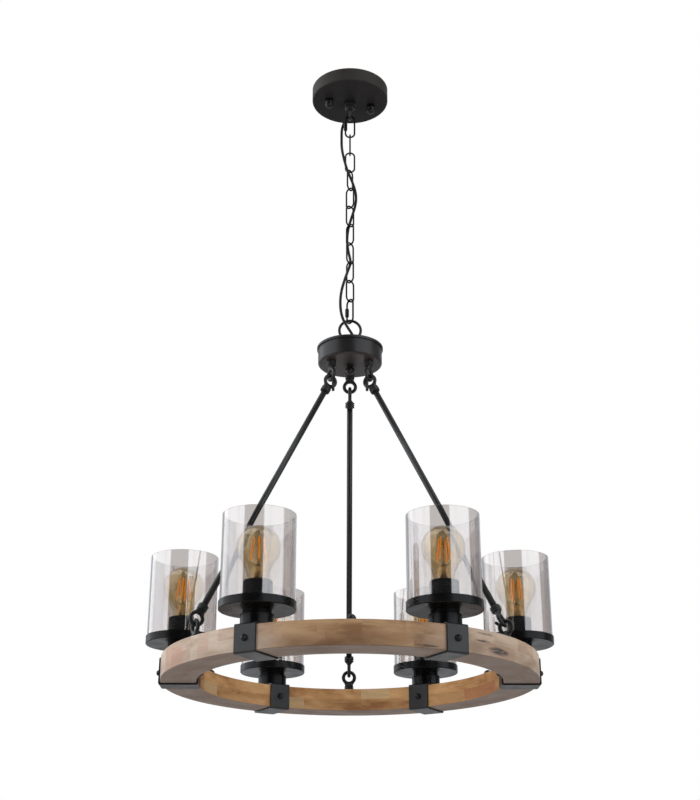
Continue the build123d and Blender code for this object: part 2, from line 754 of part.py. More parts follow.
save("lamp_necks", *[place(lamp_neck(), a, ring_radius) for a in lamp_angles()])
save("lamp_pans", *[place(lamp_pan(), a, ring_radius) for a in lamp_angles()])
save("lamp_sockets", *[place(lamp_socket(), a, ring_radius) for a in lamp_angles()])
for n, a in enumerate(lamp_angles(), 1):
    save(f"glass_shade_{n}", place(glass_shade(), a, ring_radius))
    save(f"bulb_{n}", place(bulb(), a, ring_radius))
print("lid top", lid_top, "hub floor", hub_floor, "ring top", ring_top)
print("hang points", [round(z, 3) for z in hang_points])
for name, arm in arms.items():
    print("rod", name, [tuple(round(c, 3) for c in (p.X, p.Y, p.Z)) for p in pull_points(arm)])
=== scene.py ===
import json
import math

import bmesh
import bpy
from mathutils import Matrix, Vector


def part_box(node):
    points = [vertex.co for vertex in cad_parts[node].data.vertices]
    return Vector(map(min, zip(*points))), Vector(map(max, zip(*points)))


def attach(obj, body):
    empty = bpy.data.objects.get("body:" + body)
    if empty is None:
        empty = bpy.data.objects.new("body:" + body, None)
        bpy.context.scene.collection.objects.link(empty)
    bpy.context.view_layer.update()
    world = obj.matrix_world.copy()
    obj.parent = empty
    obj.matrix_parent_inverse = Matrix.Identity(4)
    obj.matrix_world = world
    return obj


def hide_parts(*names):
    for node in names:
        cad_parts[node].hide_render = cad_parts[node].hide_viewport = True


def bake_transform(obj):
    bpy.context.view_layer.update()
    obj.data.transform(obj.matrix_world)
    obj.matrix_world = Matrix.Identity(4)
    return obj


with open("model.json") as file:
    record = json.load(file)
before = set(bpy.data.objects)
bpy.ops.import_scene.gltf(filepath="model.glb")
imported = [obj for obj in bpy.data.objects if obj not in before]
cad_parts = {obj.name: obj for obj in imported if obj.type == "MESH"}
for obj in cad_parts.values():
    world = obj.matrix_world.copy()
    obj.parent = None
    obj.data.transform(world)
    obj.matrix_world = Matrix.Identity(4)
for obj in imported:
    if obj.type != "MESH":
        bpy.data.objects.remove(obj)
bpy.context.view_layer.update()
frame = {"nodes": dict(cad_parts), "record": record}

nodes = frame["nodes"]
scene = bpy.context.scene

# Sizes repeated from the part, which this script can't read, and a few of the meshes
lamp_angles = [30 + 60 * n for n in range(6)]
lamp_radius = 0.249           # from the light's axis to the lamps and to the ring hooks
hub_hook_radius = 0.0345
ring_foot = -1.0360           # height of the wooden ring's underside
ring_inner = 0.223
ring_outer = 0.275
segment_angle = math.radians(60)
stud_radius = 0.03725
stud_turn = math.radians(13.5)
cord_radius = 0.00225
cord_sides = 14
sharp_angle = math.radians(32)

# Camera, at the photograph's place and angle
camera_distance = 1.95887
camera_height = -1.39336
camera_orbit = math.radians(-0.396)
camera_tilt = math.radians(90 + 22.392)
camera_data = bpy.data.cameras.new("camera")
camera = bpy.data.objects.new("camera", camera_data)
scene.collection.objects.link(camera)
camera.location = (camera_distance * math.sin(camera_orbit), -camera_distance * math.cos(camera_orbit), camera_height)
camera.rotation_euler = (camera_tilt, 0, camera_orbit)
camera_data.sensor_width = 36
camera_data.lens = 60.1
scene.camera = camera
scene.view_settings.view_transform = "Standard"


def around(angle, radius, z=0.0):
    """A point by its angle in degrees from the viewer's side, its radius and its height."""
    a = math.radians(angle)
    return Vector((radius * math.sin(a), -radius * math.cos(a), z))


def turns(count):
    """Angles of a full turn, in equal steps."""
    return [2 * math.pi * k / count for k in range(count)]


def new_object(name, data):
    made = bpy.data.objects.new(name, data)
    scene.collection.objects.link(made)
    return made


def rgba(colour, scale=1.0):
    return (*[min(1, c * scale) for c in colour], 1)


# Node graphs
class Graph:
    """Adds nodes to a tree with short calls, whose arguments are sockets or plain values."""

    def __init__(self, tree):
        self.tree = tree

    def node(self, kind, **settings):
        made = self.tree.nodes.new(kind)
        for key, value in settings.items():
            setattr(made, key, value)
        return made

    def link(self, source, target):
        if hasattr(source, "is_linked"):
            self.tree.links.new(source, target)
        else:
            target.default_value = source

    def math(self, operation, a, b=0.0):
        made = self.node("ShaderNodeMath", operation=operation)
        self.link(a, made.inputs[0])
        self.link(b, made.inputs[1])
        return made.outputs[0]

    def plus(self, a, b):
        return self.math("ADD", a, b)

    def minus(self, a, b):
        return self.math("SUBTRACT", a, b)

    def times(self, a, b):
        return self.math("MULTIPLY", a, b)

    def over(self, a, b):
        return self.math("DIVIDE", a, b)

    def ranged(self, value, low, high, out_low=0.0, out_high=1.0):
        """A smooth step from one output to the other as the value goes from low to high."""
        made = self.node("ShaderNodeMapRange", interpolation_type="SMOOTHSTEP")
        for slot, item in zip(made.inputs, (value, low, high, out_low, out_high)):
            self.link(item, slot)
        return made.outputs[0]

    def mix(self, factor, a, b):
        made = self.node("ShaderNodeMix", data_type="RGBA", blend_type="MIX")
        for index, item in ((0, factor), (6, a), (7, b)):
            self.link(item, made.inputs[index])
        return made.outputs[2]

    def ramp(self, factor, *stops):
        made = self.node("ShaderNodeValToRGB")
        while len(made.color_ramp.elements) < len(stops):
            made.color_ramp.elements.new(0.5)
        for element, (position, colour) in zip(made.color_ramp.elements, stops):
            element.position = position
            element.color = (*colour, 1)
        self.link(factor, made.inputs[0])
        return made.outputs[0]

    def vector(self, x, y, z):
        made = self.node("ShaderNodeCombineXYZ")
        for slot, item in zip(made.inputs, (x, y, z)):
            self.link(item, slot)
        return made.outputs[0]

    def parts(self, vector):
        made = self.node("ShaderNodeSeparateXYZ")
        self.link(vector, made.inputs[0])
        return made.outputs

    def noise(self, vector, scale, detail=4.0, roughness=0.55, distortion=0.0):
        made = self.node("ShaderNodeTexNoise")
        self.link(vector, made.inputs["Vector"])
        made.inputs["Scale"].default_value = scale
        made.inputs["Detail"].default_value = detail
        made.inputs["Roughness"].default_value = roughness
        made.inputs["Distortion"].default_value = distortion
        return made.outputs["Fac"]

    def random(self, vector):
        made = self.node("ShaderNodeTexWhiteNoise", noise_dimensions="3D")
        self.link(vector, made.inputs["Vector"])
        return made.outputs["Value"]


class MaterialGraph(Graph):
    """The graph of a new material, with its Principled shader."""

    def __init__(self, name):
        self.material = bpy.data.materials.new(name)
        self.material.use_nodes = True
        super().__init__(self.material.node_tree)
        self.shader = self.tree.nodes["Principled BSDF"]
        self.point = self.node("ShaderNodeTexCoord").outputs["Object"]

    def bump(self, height, distance, strength=1.0, under=None):
        made = self.node("ShaderNodeBump")
        made.inputs["Strength"].default_value = strength
        made.inputs["Distance"].default_value = distance
        self.link(height, made.inputs["Height"])
        if under is not None:
            self.link(under, made.inputs["Normal"])
        self.link(made.outputs[0], self.shader.inputs["Normal"])
        return made.outputs[0]

    def set(self, **values):
        for key, value in values.items():
            self.link(value, self.shader.inputs[key.replace("_", " ")])


def powder_coat(name, shade, gloss, tint=(1, 1, 1), rib=0.0, shine=0.4, underside_light=None):
    """Black powder coat: a fine skin, clouded by wear, with painted light and shade in its own colour on faces that
    look down.
    """
    g = MaterialGraph(name)
    cloud = g.noise(g.point, 38, 3)
    colour = [shade * t for t in tint]
    # Painted light and shade: faces that look down take their own colour, by default lighter and warmer, as if lit
    # from below
    underside_light = underside_light or [shade * warm for warm in (1.7, 1.35, 1.15)]
    facing = g.parts(g.node("ShaderNodeNewGeometry").outputs["Normal"])
    under = g.ranged(facing[2], -0.5, -0.9, 0.0, 0.8)
    base = g.mix(under, g.mix(cloud, rgba(colour, 0.8), rgba(colour, 1.25)), rgba(underside_light))
    g.set(Base_Color=base, Roughness=g.ranged(cloud, 0.3, 0.7, gloss - 0.04, gloss + 0.06), Specular_IOR_Level=shine)
    skin_bump = g.bump(g.noise(g.point, 1100, 2), 0.00002, 0.06)
    if rib:
        wave = g.math("SINE", g.times(g.parts(g.point)[2], 2 * math.pi / rib))
        g.bump(wave, 0.0004, 1.0, skin_bump)
    return g.material


def plain(name, colour, roughness, metallic=0.0, grain=600, depth=0.0001, shine=0.5):
    """One colour, slightly clouded, with a fine grain."""
    g = MaterialGraph(name)
    cloud = g.noise(g.point, 60, 3)
    g.set(
        Base_Color=g.mix(cloud, rgba(colour, 0.85), rgba(colour, 1.12)),
        Roughness=g.ranged(cloud, 0.3, 0.7, roughness * 0.85, roughness * 1.15),
        Metallic=metallic,
        Specular_IOR_Level=shine,
    )
    g.bump(g.noise(g.point, grain, 2), depth, 0.4)
    return g.material


def clear_glass(name, tint, ior, roughness=0.0):
    g = MaterialGraph(name)
    g.set(Base_Color=rgba(tint), Roughness=roughness, Transmission_Weight=1.0, IOR=ior)
    return g.material


def glowing(name, colour, strength):
    g = MaterialGraph(name)
    base = g.mix(g.noise(g.point, 700, 2), rgba(colour, 0.8), rgba(colour))
    g.set(Base_Color=base, Roughness=0.55, Emission_Color=base, Emission_Strength=strength)
    return g.material


block_length = 0.052
layer_height = 0.0182         # of the ring's two layers of blocks
layer_depth = 0.0262          # of the blocks, from the ring's inside to its outside
# Reddish patches on the outer face: azimuth in radians, half width, strength
rosy_patches = ((-1.10, 0.14, 0.6), (-0.80, 0.05, 0.35), (-0.52, 0.04, 0.22))
# Dark smudges on the outer face: azimuth in radians, half width, height above the underside, half height
smudges = ((0.80, 0.085, 0.0095, 0.0058), (0.69, 0.06, 0.0190, 0.0016), (0.70, 0.06, 0.0290, 0.0014),
           (0.36, 0.07, 0.0035, 0.0018))


def wood():
    """Finger-jointed ring: two layers of short blocks, golden inside, paler at the sides and smudged outside, with
    painted shade low on the outside.
    """
    g = MaterialGraph("weathered_wood")
    x, y, z = g.parts(g.point)
    radius = g.math("SQRT", g.plus(g.times(x, x), g.times(y, y)))
    azimuth = g.math("ARCTAN2", x, g.times(y, -1))
    height = g.minus(z, ring_foot)
    # Distance along the ring, which starts afresh and far away in each of its six segments
    shifted = g.plus(g.over(azimuth, segment_angle), 6.5)
    segment = g.math("FLOORED_MODULO", g.math("FLOOR", shifted), 6)
    along = g.plus(g.times(g.math("FRACT", shifted), segment_angle * lamp_radius), g.times(segment, 1.7))

    # Blocks: their ends are staggered between the two layers and from the inside out
    layer = g.math("FLOOR", g.over(height, layer_height))
    depth = g.math("FLOOR", g.over(g.minus(radius, ring_inner), layer_depth))
    stagger = g.times(g.random(g.vector(segment, layer, depth)), 0.09)
    block = g.math("FLOOR", g.over(g.plus(along, stagger), block_length))
    tone = g.random(g.vector(block, g.plus(layer, g.times(segment, 7.0)), depth))
    other = g.random(g.vector(g.plus(block, 31.0), layer, segment))

    def stretched(along_scale, radius_scale, height_scale, along_shift=0.0, height_shift=0.0):
        """A point for a noise, drawn out along the ring."""
        return g.vector(
            g.plus(g.times(along, along_scale), along_shift),
            g.times(radius, radius_scale),
            g.plus(g.times(height, height_scale), height_shift),
        )

    # Soft clouds, long fibres that start afresh in each block, and a fine fuzz
    cloud = g.noise(stretched(16, 30, 48, g.times(other, 0.25), g.times(tone, 0.25)), 1.0, 3, 0.55, 0.4)
    fibre = g.noise(stretched(22, 260, 420, g.times(tone, 40.0), g.times(other, 30.0)), 1.0, 4, 0.6, 0.5)
    fuzz = g.noise(g.point, 420, 3, 0.6)
    grain = g.plus(g.times(cloud, 0.72), g.times(fibre, 0.28))

    def shades(low, high):
        return g.mix(grain, rgba(low), rgba(high))

    # Inside: golden, with some reddish and some pale blocks and a darker lower layer
    inner = g.ramp(grain, (0.36, (0.30, 0.130, 0.048)), (0.48, (0.50, 0.262, 0.105)), (0.62, (0.68, 0.40, 0.18)))
    inner = g.mix(g.ranged(tone, 0.86, 0.87, 0.0, 0.8), inner, shades((0.36, 0.125, 0.052), (0.52, 0.22, 0.10)))
    inner = g.mix(g.ranged(other, 0.88, 0.89, 0.0, 0.8), inner, shades((0.54, 0.36, 0.18), (0.70, 0.50, 0.28)))
    inner = g.mix(g.ranged(height, 0.0175, 0.0185, 0.2, 0.0), inner, rgba((0.12, 0.06, 0.026)))

    # Outside: paler towards both sides, and browner and darker towards its lower edge, most at the front, as painted
    # shade
    tan = g.ramp(grain, (0.36, (0.205, 0.106, 0.050)), (0.48, (0.31, 0.180, 0.090)), (0.62, (0.41, 0.262, 0.143)))
    pale = g.ramp(grain, (0.34, (0.39, 0.295, 0.220)), (0.50, (0.55, 0.445, 0.355)), (0.66, (0.63, 0.52, 0.42)))
    # Paler towards both sides, more on the left
    left = g.ranged(azimuth, -0.18, -0.60, 0.0, 0.92)
    right = g.ranged(azimuth, 0.05, 0.72, 0.0, 0.62)
    paler_sides = g.plus(g.math("MAXIMUM", left, right), g.times(g.minus(tone, 0.5), 0.15))
    outer = g.mix(g.ranged(paler_sides, 0.0, 1.0), tan, pale)
    outer = g.mix(g.ranged(other, 0.88, 0.89, 0.0, 0.28), outer, shades((0.28, 0.125, 0.068), (0.36, 0.185, 0.115)))
    for centre, half, strength in rosy_patches:
        near = g.ranged(g.math("ABSOLUTE", g.minus(azimuth, centre)), half, half * 0.7, 0.0, strength)
        outer = g.mix(g.times(near, g.ranged(cloud, 0.36, 0.56)), outer, rgba((0.46, 0.24, 0.165)))
    # Painted shade: darker towards the underside all round, and more so low on the front
    front_shade = g.ranged(g.math("ABSOLUTE", g.plus(azimuth, 0.12)), 0.45, 0.15, 0.0, 0.26)
    front_shade = g.times(front_shade, g.ranged(height, 0.0, 0.022, 1.0, 0.0))
    painted_shade = g.plus(g.ranged(height, 0.004, 0.030, 0.22, 0.0), front_shade)
    outer = g.mix(painted_shade, outer, rgba((0.075, 0.040, 0.020)))
    burnt = g.ranged(g.plus(height, g.times(fibre, 0.0012)), 0.0022, 0.0012, 0.0, 0.6)
    outer = g.mix(burnt, outer, rgba((0.04, 0.026, 0.018)))

    # The outer colours hold on the top face too; the underside is left as sawn
    outer_face = g.ranged(radius, ring_outer - 0.0015, ring_outer - 0.0005)
    not_inner_face = g.minus(1.0, g.ranged(radius, ring_inner + 0.0014, ring_inner + 0.0004))
    colour = g.mix(g.math("MAXIMUM", outer_face, not_inner_face), inner, outer)
    sawn = g.ramp(grain, (0.36, (0.205, 0.150, 0.118)), (0.62, (0.275, 0.212, 0.172)))
    colour = g.mix(g.ranged(height, 0.0008, 0.0003), colour, sawn)
    colour = g.mix(g.ranged(fibre, 0.48, 0.70, 0.0, 0.24), colour, rgba((0.11, 0.068, 0.042)))
    colour = g.mix(g.ranged(fuzz, 0.45, 0.7, 0.0, 0.10), colour, rgba((0.09, 0.06, 0.045)))

    # Dark weathered smudges on the outer face, torn along the fibres: faint scattered ones and the placed ones
    smudge = g.ranged(g.noise(stretched(14, 0, 70), 1.0, 4, 0.6), 0.70, 0.78, 0.0, 0.5)
    for centre, half, level, level_half in smudges:
        off = g.over(g.minus(azimuth, centre), half)
        rise = g.over(g.minus(height, level), level_half)
        away = g.plus(g.times(off, off), g.times(rise, rise))
        smudge = g.math("MAXIMUM", smudge, g.ranged(away, 1.2, 0.2))
    torn = g.ranged(g.noise(stretched(90, 300, 900), 1.0, 3, 0.6), 0.36, 0.52)
    smudge = g.times(g.times(smudge, torn), g.times(outer_face, 0.95))
    colour = g.mix(smudge, colour, rgba((0.05, 0.043, 0.04)))

    g.set(Base_Color=colour, Roughness=g.ranged(grain, 0.3, 0.7, 0.68, 0.55), Specular_IOR_Level=0.3)
    g.bump(g.plus(g.times(fibre, 0.6), g.times(fuzz, 0.4)), 0.0003, 0.3)
    return g.material


coat = powder_coat("black_metal", 0.0095, 0.38, shine=0.33)
# The hub's and canopy's faces that look down get their own colours of painted light and shade
coat_hub = powder_coat("black_hub", 0.0095, 0.34, (1.1, 1.0, 0.95), shine=0.27, underside_light=(0.05, 0.041, 0.037))
coat_canopy = powder_coat("black_canopy", 0.021, 0.52, (1.15, 1.03, 0.93), shine=0.1, underside_light=(0.0185, 0.017, 0.0175))
# The lamps' pans and necks take a darker copy of the coat: painted shade for their dark fronts
coat_lamp_shaded = powder_coat("black_lamp_shaded", 0.0025, 0.27, shine=0.15)
coat_bolt = powder_coat("black_bolt", 0.0025, 0.4, shine=0.3)
coat_chain = powder_coat("black_chain", 0.003, 0.38, shine=0.14)
coat_ribbed = powder_coat("black_socket", 0.004, 0.38, rib=0.0024)
rubber = plain("cord_sleeve", (0.006, 0.006, 0.0063), 0.5, 0.0, 900, 0.00002, 0.2)
bulb_glass = clear_glass("amber_glass", (0.92, 0.82, 0.58), 1.75)
stem_glass = clear_glass("stem_glass", (0.85, 0.66, 0.34), 1.45, 0.05)
# The filaments glow although the bulbs are off: painted light for their bright orange
filament = glowing("filament", (0.92, 0.32, 0.015), 1.35)
wire = plain("lead_wire", (0.45, 0.36, 0.25), 0.35, 1.0)
cap_metal = plain("cap_metal", (0.72, 0.66, 0.52), 0.28, 1.0)

# Finishes of the CAD nodes, by material slot and, where a node has its own, by name
finishes = {
    "black_metal": coat,
    "zinc_steel": plain("zinc_steel", (0.55, 0.55, 0.53), 0.32, 1.0),
    "terminal_plastic": plain("terminal_plastic", (0.78, 0.77, 0.72), 0.5),
    "cord_sleeve": rubber,
    "weathered_wood": wood(),
    "clear_glass": clear_glass("clear_glass", (0.625, 0.585, 0.565), 2.0),
    "amber_glass": bulb_glass,
}
own_finishes = {
    "canopy_cup": coat_canopy, "hub_cup": coat_hub, "lamp_sockets": coat_ribbed,
    "lamp_pans": coat_lamp_shaded, "lamp_necks": coat_lamp_shaded,
    "bracket_bolts": coat_bolt, "bracket_bolt_nuts": coat_bolt,
    "canopy_cap_nuts": coat_bolt, "ring_cap_nuts": coat_bolt,
    **{name: coat_chain for name in nodes if name.startswith(("chain_link", "quick_link"))},
}
slot_of = {part["node"]: part["material_slot"] for part in frame["record"]["subparts"]}
for name, node in nodes.items():
    node.data.materials.clear()
    node.data.materials.append(own_finishes.get(name) or finishes[slot_of[name]])


# Mesh makers
def tube_rings(centres, radius, sides):
    """Rings of points round a line, turned as little as possible from one to the next."""
    centres = [Vector(c) for c in centres]
    rings = []
    side = None
    for i, here in enumerate(centres):
        ahead = centres[min(i + 1, len(centres) - 1)] - centres[max(i - 1, 0)]
        ahead.normalize()
        if side is None:
            side = ahead.orthogonal()
        side = (side - ahead * side.dot(ahead)).normalized()
        up = ahead.cross(side)
        r = radius[i] if isinstance(radius, list) else radius
        rings.append([here + side * (r * math.cos(a)) + up * (r * math.sin(a)) for a in turns(sides)])
    return rings


def build(name, shells, finish):
    """One smooth mesh from shells of rings, each closed by end caps or, as a loop, on itself."""
    mesh = bpy.data.meshes.new(name)
    points = []
    faces = []
    for rings, loop in shells:
        start = len(points)
        count = len(rings[0])
        total = len(rings)
        points += [tuple(p) for ring in rings for p in ring]
        for i in range(total if loop else total - 1):
            low, high = start + i * count, start + (i + 1) % total * count
            for k in range(count):
                n = (k + 1) % count
                faces.append((low + k, low + n, high + n, high + k))
        if not loop:
            faces.append(tuple(reversed(range(start, start + count))))
            faces.append(tuple(range(start + (total - 1) * count, start + total * count)))
    mesh.from_pydata(points, [], faces)
    mesh.update()
    made = new_object(name, mesh)
    mesh.materials.append(finish)
    for polygon in mesh.polygons:
        polygon.use_smooth = len(polygon.vertices) == 4
    return made


def tube(name, centres, radius, sides, finish):
    return build(name, [(tube_rings(centres, radius, sides), False)], finish)


def lathe(name, profile, centre, finish, sides=48, closed=False):
    """A surface of revolution about a vertical line from (radius, height) points."""
    mesh = bpy.data.meshes.new(name)
    form = bmesh.new()
    rings = []
    for radius, height in profile:
        z = centre.z + height
        if radius < 1e-7:
            rings.append([form.verts.new((centre.x, centre.y, z))])
        else:
            rings.append([form.verts.new((centre.x + radius * math.cos(t), centre.y + radius * math.sin(t), z))
                          for t in turns(sides)])
    pairs = list(zip(rings, rings[1:])) + ([(rings[-1], rings[0])] if closed else [])
    for low, high in pairs:
        if len(low) == 1 and len(high) == 1:
            continue
        for k in range(sides):
            n = (k + 1) % sides
            if len(low) == 1:
                form.faces.new((low[0], high[n], high[k]))
            elif len(high) == 1:
                form.faces.new((low[k], low[n], high[0]))
            else:
                form.faces.new((low[k], low[n], high[n], high[k]))
    bmesh.ops.recalc_face_normals(form, faces=form.faces)
    for face in form.faces:
        face.smooth = True
    form.to_mesh(mesh)
    form.free()
    mesh.materials.append(finish)
    return new_object(name, mesh)


def stand_in(piece, node, body):
    """A black metal piece takes a CAD node's place and rides on its body."""
    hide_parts(node)
    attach(piece, body)


# The power cord: one smooth line from the canopy to the hub, cut where it passes each link's middle
route = [
    (0.0, 0.0, -0.0356), (-0.001, 0.0, -0.0455), (-0.0077, 0.0055, -0.057), (-0.0144, 0.008, -0.072),
    (-0.0146, 0.003, -0.097), (-0.0144, -0.0065, -0.122), (-0.011, -0.0138, -0.146), (-0.0051, -0.0134, -0.17),
    (0.0053, -0.0019, -0.19), (0.0106, 0.0002, -0.21), (0.0096, -0.0011, -0.231), (0.0033, 0.0006, -0.252),
    (-0.0031, 0.0082, -0.271), (-0.0053, 0.0137, -0.292), (-0.0025, 0.0142, -0.314), (0.0019, 0.0092, -0.335),
    (-0.0039, -0.0008, -0.357), (-0.0095, -0.0054, -0.377), (-0.0146, -0.0078, -0.398), (-0.0164, -0.0091, -0.422),
    (-0.0133, -0.0104, -0.446), (-0.0046, -0.0126, -0.464), (0.0042, -0.0143, -0.479), (0.006, -0.0145, -0.48645),
    (0.006, -0.0145, -0.49445),
]
curve = bpy.data.curves.new("cord_route", "CURVE")
curve.dimensions = "3D"
curve.resolution_u = 12
spline = curve.splines.new("NURBS")
spline.points.add(len(route) - 1)
for point, place in zip(spline.points, route):
    point.co = (*place, 1)
spline.order_u = 3
spline.use_endpoint_u = True
line_object = new_object("cord_route", curve)
bpy.context.view_layer.update()
line_mesh = bpy.data.meshes.new_from_object(line_object.evaluated_get(bpy.context.evaluated_depsgraph_get()))
line = [Vector(v.co) for v in line_mesh.vertices]
if line[0].z < line[-1].z:
    line.reverse()
bpy.data.objects.remove(line_object)

chain = ["quick_link_top"] + [f"chain_link_{n}" for n in range(1, 10)] + ["quick_link_bottom"]
middles = [sum(c.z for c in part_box(name)) / 2 for name in chain]
cuts = [0]
for level in middles:
    cuts.append(min(range(len(line)), key=lambda i: abs(line[i].z - level)))
cuts.append(len(line) - 1)
all_rings = tube_rings(line, cord_radius, cord_sides)
for n, (first, last) in enumerate(zip(cuts, cuts[1:])):
    piece = build(f"cord_{n + 1}", [(all_rings[first:last + 1], False)], rubber)
    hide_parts("power_cord")
    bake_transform(piece)

# Bulbs: amber glass, screw cap, glass stem, support wires and slanting filaments. Profiles are
# (radius, height above the cap's foot).
bulb_radius = 0.030
bulb_wall = 0.0008
bulb_throat = 0.0215          # radius at which the round part starts
bulb_neck = [(0.0131, 0.026), (0.0134, 0.030), (0.0148, 0.0385), (0.0178, 0.0465)]
cap_steps = 36
cap_threads = 5
cap_profile = [(0.0, 0.0), (0.0045, 0.0), (0.0048, 0.0012), (0.0085, 0.0028), (0.0118, 0.0046)]
cap_profile += [(0.0128 + 0.0004 * math.sin(2 * math.pi * cap_threads * k / (cap_steps - 1)),
                 0.0052 + 0.0176 * k / (cap_steps - 1)) for k in range(cap_steps)]
cap_profile += [(0.0127, 0.0240), (0.0133, 0.0262), (0.0129, 0.0264), (0.0, 0.0264)]
stem_profile = [(0.0, 0.0266), (0.0095, 0.0266), (0.0062, 0.031), (0.0032, 0.040), (0.0028, 0.046), (0.0042, 0.0485),
                (0.0028, 0.0505), (0.0013, 0.053), (0.0012, 0.078), (0.002, 0.0795), (0.0, 0.081)]
stick_count = 4
stick_top = (0.0066, 0.0890)  # a filament's upper end: its distance from the stem and its height
stick_foot = (0.0108, 0.0565)
stick_radius = 0.0011
wire_radius = 0.00028


def bulb_profile(centre):
    """The closed outline of the bulb's glass wall, whose round part is centred at this height."""
    start = math.asin(bulb_throat / bulb_radius)
    outer = list(bulb_neck)
    for k in range(27):
        t = start + (math.pi - start) * k / 26
        outer.append((bulb_radius * math.sin(math.pi - t), centre + bulb_radius * math.cos(math.pi - t)))
    inner = []
    for radius, height in outer[:-1]:
        sink = bulb_wall if radius < 0.001 else 0.0002
        inner.append((radius - bulb_wall if radius > bulb_wall else 0.0, height - sink))
    top = centre + bulb_radius
    return outer[:-1] + [(0.0, top), (0.0, top - bulb_wall)] + inner[::-1]


for n, angle in enumerate(lamp_angles, 1):
    body = f"bulb_{n}"
    low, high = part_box(body)
    foot = around(angle, lamp_radius, low.z)
    glass = lathe(f"bulb_glass_{n}", bulb_profile(high.z - low.z - bulb_radius), foot, bulb_glass, closed=True)
    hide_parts(body)
    cap = lathe(f"bulb_cap_{n}", cap_profile, foot, cap_metal)
    stem = lathe(f"bulb_stem_{n}", stem_profile, foot, stem_glass, 24)
    parts = [glass, cap, stem]
    root = foot + Vector((0, 0, 0.049))      # where the lower wires leave the stem
    knot = foot + Vector((0, 0, 0.0795))     # where the upper wires leave it
    for k in range(stick_count):
        turn = 2 * math.pi * k / stick_count + 0.12 + (n % 6) * 0.9
        out = Vector((math.cos(turn), math.sin(turn), 0))
        top = foot + out * stick_top[0] + Vector((0, 0, stick_top[1]))
        base = foot + out * stick_foot[0] + Vector((0, 0, stick_foot[1]))
        stick = [base + (top - base) * t for t in (0.0, 0.02, 0.5, 0.98, 1.0)]
        radii = [0.0005, stick_radius, stick_radius, stick_radius, 0.0005]
        parts.append(tube(f"filament_{n}_{k + 1}", stick, radii, 10, filament))
        bend = base - Vector((0, 0, 0.003))
        parts.append(tube(f"lead_{n}_{k + 1}", [root, root * 0.5 + bend * 0.5, bend, base], wire_radius, 6, wire))
        sag = knot * 0.4 + top * 0.6 + Vector((0, 0, 0.0012))
        parts.append(tube(f"hanger_{n}_{k + 1}", [knot, sag, top], wire_radius, 6, wire))
    for part in parts:
        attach(part, body)

# Hooks and rods with the photograph's thick cast eyes
eye_middle = 0.0091           # radius of the middle line of an eye's bar
eye_bar = 0.0028
eye_gap = 0.0004              # between the bars of two eyes that hang in each other
eye_collar = 0.01345          # from an eye's middle to its collar
collar_height = 0.0095
rod_radius = 0.0046
hub_eyes = -0.5498            # height of the hub hooks' eyes
ring_eyes = -0.97847
hub_tail = (math.radians(45), math.radians(0), 0.024)      # a hook's cut end: its place on the eye, lean and length
ring_tail = (math.radians(68), math.radians(55), 0.009)
# Stations along a piece's own line, in millimetres: distance, half width, half depth
neck_stations = [(6.5, 8.4, 1.1), (7.2, 8.6, 2.1), (8.5, 8.2, 2.7), (10.0, 7.5, 3.2), (12.0, 6.7, 4.7),
                 (13.6, 6.3, 6.1)]
# The same for round pieces, from the collar's start: distance, radius
collar_stations = [(0, 5.2), (0.3, 6.7), (1.1, 7.5), (2.2, 7.5), (2.8, 6.8), (3.2, 6.4), (3.6, 6.9), (4.3, 7.7),
                   (5.4, 7.7), (6.0, 6.9), (6.4, 6.5), (6.8, 7.0), (7.4, 7.6), (8.6, 7.5), (9.3, 6.7), (9.5, 5.0)]
shank_stations = [(9.0, 3.0), (9.6, 3.0), (18.0, 3.0), (18.5, 3.0)]


def ovals(centre, along, side, stations, sides=28):
    """Oval rings round a straight line, as a shell."""
    depth = along.cross(side)
    rings = [[centre + along * (s / 1000) + side * (w / 1000 * math.cos(a)) + depth * (d / 1000 * math.sin(a))
              for a in turns(sides)] for s, w, d in stations]
    return rings, False


def rounds(centre, along, side, stations):
    """Round rings from an eye's collar on, as a shell."""
    return ovals(centre, along, side, [(eye_collar * 1000 + s, r, r) for s, r in stations])


def eye_shells(centre, along, side):
    """An eye whose plane holds along and side, its neck and its ribbed collar."""
    across = side.cross(along)
    loop = []
    for t in turns(40):
        out = along * math.cos(t) + side * math.sin(t)
        loop.append([centre + out * (eye_middle + eye_bar * math.cos(a)) + across * (eye_bar * math.sin(a))
                     for a in turns(16)])
    return [(loop, True), ovals(centre, along, side, neck_stations), rounds(centre, along, side, collar_stations)]


def hook(name, node, centre, along, side, tail, hand):
    """A screw hook; hand is -1 or 1 for the side of the eye that its cut end stands at, and 0 for none."""
    shells = eye_shells(centre, along, side) + [rounds(centre, along, side, shank_stations)]
    if hand:
        root, lean, length = tail
        start = centre + side * (hand * eye_middle * math.sin(root)) - along * (eye_middle * math.cos(root))
        away = side * (hand * math.sin(lean)) - along * math.cos(lean)
        # The cut end has a small bevel
        line = [start + away * reach for reach in (0, length * 0.7, length - 0.0004, length)]
        shells.append((tube_rings(line, [0.0024, 0.0023, 0.0021, 0.0015], 16), False))
    stand_in(build(name, shells, coat), node, "wheel")


